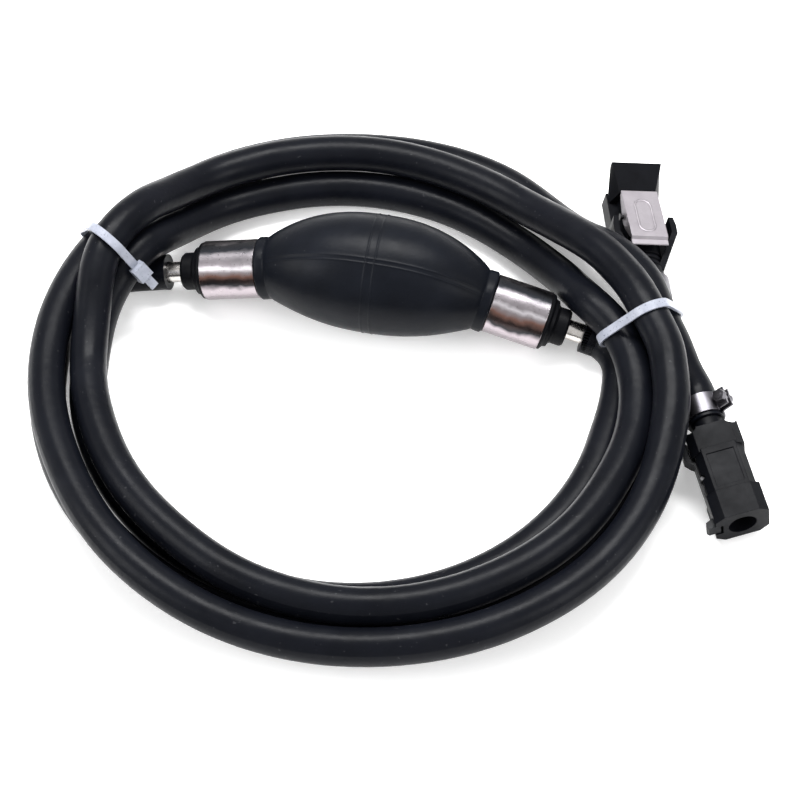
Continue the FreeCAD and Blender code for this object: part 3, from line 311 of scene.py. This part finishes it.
def bulb_axis(distance):
    """Point and direction on the bulb's bent axis, as in the CAD part."""
    start = Vector((math.cos(BULB_HEADING), math.sin(BULB_HEADING), 0))
    end = OUTLET_AXIS
    if distance < 0:
        start, end = -start, INLET_AXIS
    run = abs(distance)
    if run <= BULB_STRAIGHT:
        return BULB_MIDDLE + start * run, start
    side = (end - start * end.dot(start)).normalized()
    bend = math.acos(end.dot(start))
    radius = (BULB_BENT - BULB_STRAIGHT) / bend
    angle = min((run - BULB_STRAIGHT) / radius, bend)
    point = BULB_MIDDLE + start * (BULB_STRAIGHT + radius * math.sin(angle))
    point = point + side * (radius * (1 - math.cos(angle)))
    direction = start * math.cos(angle) + side * math.sin(angle)
    return point + direction * max(run - BULB_BENT, 0), direction


def ridge(offset, spacing, width):
    """The height, 0 to 1, of a fine raised line at each side of a mould's seam."""
    return math.exp(-((abs(offset) - spacing) / width) ** 2)


def bulb_radius(distance):
    run = abs(distance)
    if run >= BULB_HALF:
        return COLLAR_RADIUS
    return BULB_RADIUS - (BULB_RADIUS - COLLAR_RADIUS) * (run / BULB_HALF) ** SHOULDER_POWER


def bulb_grid(seams):
    """Angles and stations of the bulb's skin, closer together at its ridges and collars."""
    angles = [2 * math.pi * i / 120 for i in range(120)]
    for middle in seams:
        angles += [(middle + math.radians(0.45 * k)) % (2 * math.pi) for k in range(-9, 10)]
    stations = [1.5 * MM * k for k in range(-30, 31)]
    stations += [0.22 * MM * k for k in range(-18, 19)]
    for side in (1, -1):
        stations += [side * run * MM
                     for run in (46.0, 46.3, 46.6, 47.4, 48.6, 49.8, 50.4, 50.8, 51.0)]
    return (sorted(set(round(angle, 6) for angle in angles)),
            sorted(set(round(station, 6) for station in stations)))


def make_bulb():
    """The squeeze bulb with its mould lines."""
    seams = (SEAM_ANGLE, SEAM_ANGLE - math.pi)
    angles, stations = bulb_grid(seams)
    rings = []
    for station in stations:
        point, along = bulb_axis(station)
        if station < 0:
            along = -along
        right = along.cross(Vector((0, 0, 1))).normalized()
        up = right.cross(along)
        base = bulb_radius(station)
        fade = max(0.0, 1 - (abs(station) / (BULB_REACH - FADE_SHORT)) ** FADE_POWER)
        round_off = max(0.0, abs(station) - (BULB_REACH - RIM_LENGTH))
        groove = ridge(station, GROOVE_PLACE, GROOVE_WIDTH)
        ring = []
        for angle in angles:
            radius = base + BELT_HEIGHT * ridge(station, BELT_SPACING, BELT_WIDTH)
            for middle in seams:
                away = (angle - middle + math.pi) % (2 * math.pi) - math.pi
                radius += SEAM_HEIGHT * fade * ridge(away * base, SEAM_SPACING, SEAM_WIDTH)
            radius -= GROOVE_DEPTH * groove + round_off * RIM_SLOPE
            spoke = right * math.cos(angle) + up * math.sin(angle)
            ring.append(point + spoke * radius)
        rings.append(ring)
    bulb = ride_on("bulb_skin", rings, "line", "bulb_rubber")
    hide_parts("bulb")
    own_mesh(bulb)


def lever_frame():
    """The lever's own directions, read from its hinge and the tank connector's valve."""
    joints = {joint["name"]: joint for joint in frame["joints"]}
    right = Vector(joints["lever_hinge"]["axis"]).normalized()
    along = -Vector(joints["tank_shutoff_slide"]["axis"]).normalized()
    up = right.cross(along).normalized()
    return Vector(joints["lever_hinge"]["pos_m"]), right, along, up


def make_emboss():
    """A plain elongated oval pressed up from the lever's sheet."""
    hinge, right, along, up = lever_frame()
    straight = EMBOSS_LONG - EMBOSS_WIDE
    rings = []
    for k in range(EMBOSS_STEPS):
        turn = 2 * math.pi * k / EMBOSS_STEPS
        centre_y = EMBOSS_MIDDLE + math.copysign(straight, math.sin(turn))
        ring = []
        for out, lift in EMBOSS_SECTION:
            reach = EMBOSS_WIDE + out * MM
            x = reach * math.cos(turn)
            y = centre_y + reach * math.sin(turn)
            z = LEVER_NEAR_Z - (y - LEVER_NEAR_Y) * LEVER_FALL + lift * MM
            ring.append(hinge + right * x + along * (y - PIN_Y) + up * (z - PIN_Z))
        rings.append(ring[::-1])
    ride_on("lever_emboss", rings, "lever", "lever_steel", looped=True)


def make_springs():
    """Copies of the springs on meshes of their own, in place of the CAD ones, which are hidden."""
    for joint in frame["joints"]:
        name = joint["deforming_nodes"][0]["node"]
        node = frame["nodes"][name]
        piece = bpy.data.objects.new(name + "_coil", node.data.copy())
        piece.matrix_world = node.matrix_world
        bpy.context.scene.collection.objects.link(piece)
        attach(piece, "line")
        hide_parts(name)
        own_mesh(piece)


make_bulb()
make_emboss()
make_springs()


# ---------------------------------------------------------------- stage, light and camera

FLOOR_REACH = 6.0
FLOOR_BELOW = 0.4 * MM
WORLD_STRENGTH = 0.85
# Name, place, target, size and power in watts of each softbox.
SOFTBOXES = [
    ("top_softbox", (0.0, 0.55, 1.5), (0, 0.02, 0), (1.3, 0.5), 46),
    ("left_softbox", (-1.4, -0.4, 0.9), (0, 0, 0), (0.9, 0.9), 16),
    ("right_softbox", (1.3, -0.7, 0.9), (0, 0, 0), (0.8, 0.8), 12),
]
CAMERA_ELEVATION = math.radians(54)
CAMERA_DISTANCE = 1.212
CAMERA_TARGET = Vector((3.0, 0.4, 0.0)) * MM
CAMERA_LENS = 126.8  # millimetres, on a sensor 36 mm wide


def make_stage():
    mesh = bpy.data.meshes.new("floor")
    corners = [(FLOOR_REACH * x, FLOOR_REACH * y, 0)
               for x, y in ((-1, -1), (1, -1), (1, 1), (-1, 1))]
    mesh.from_pydata(corners, [], [(0, 1, 2, 3)])
    look = Look("floor_look")
    look.set(Base_Color=look.ramp(look.noise(0.4), (0.3, 0.90), (0.7, 0.93)), Roughness=0.9)
    # Painted light: the floor glows faintly, softening the shadows cast on it and lighting the parts from below.
    look.set(Emission_Color=(1, 1, 1, 1), Emission_Strength=0.3)
    mesh.materials.append(look.material)
    floor = bpy.data.objects.new("floor", mesh)
    floor.location.z = -FLOOR_BELOW
    bpy.context.scene.collection.objects.link(floor)


def area_light(name, place, target, size, power):
    data = bpy.data.lights.new(name, "AREA")
    data.shape = "RECTANGLE"
    data.size, data.size_y = size
    data.energy = power
    light = bpy.data.objects.new(name, data)
    light.location = place
    light.rotation_euler = (Vector(target) - Vector(place)).to_track_quat("-Z", "Y").to_euler()
    bpy.context.scene.collection.objects.link(light)


def make_lights():
    for softbox in SOFTBOXES:
        area_light(*softbox)
    world = bpy.data.worlds.new("studio")
    world.use_nodes = True
    background = world.node_tree.nodes["Background"]
    background.inputs["Color"].default_value = (1, 1, 1, 1)
    background.inputs["Strength"].default_value = WORLD_STRENGTH
    bpy.context.scene.world = world
    bpy.context.scene.view_settings.view_transform = "Standard"


def make_camera():
    data = bpy.data.cameras.new("camera")
    data.sensor_width = 36.0
    data.lens = CAMERA_LENS
    camera = bpy.data.objects.new("camera", data)
    towards = Vector((0, -math.cos(CAMERA_ELEVATION), math.sin(CAMERA_ELEVATION)))
    camera.location = CAMERA_TARGET + CAMERA_DISTANCE * towards
    camera.rotation_euler = (-towards).to_track_quat("-Z", "Y").to_euler()
    bpy.context.scene.collection.objects.link(camera)
    bpy.context.scene.camera = camera


make_stage()
make_lights()
make_camera()
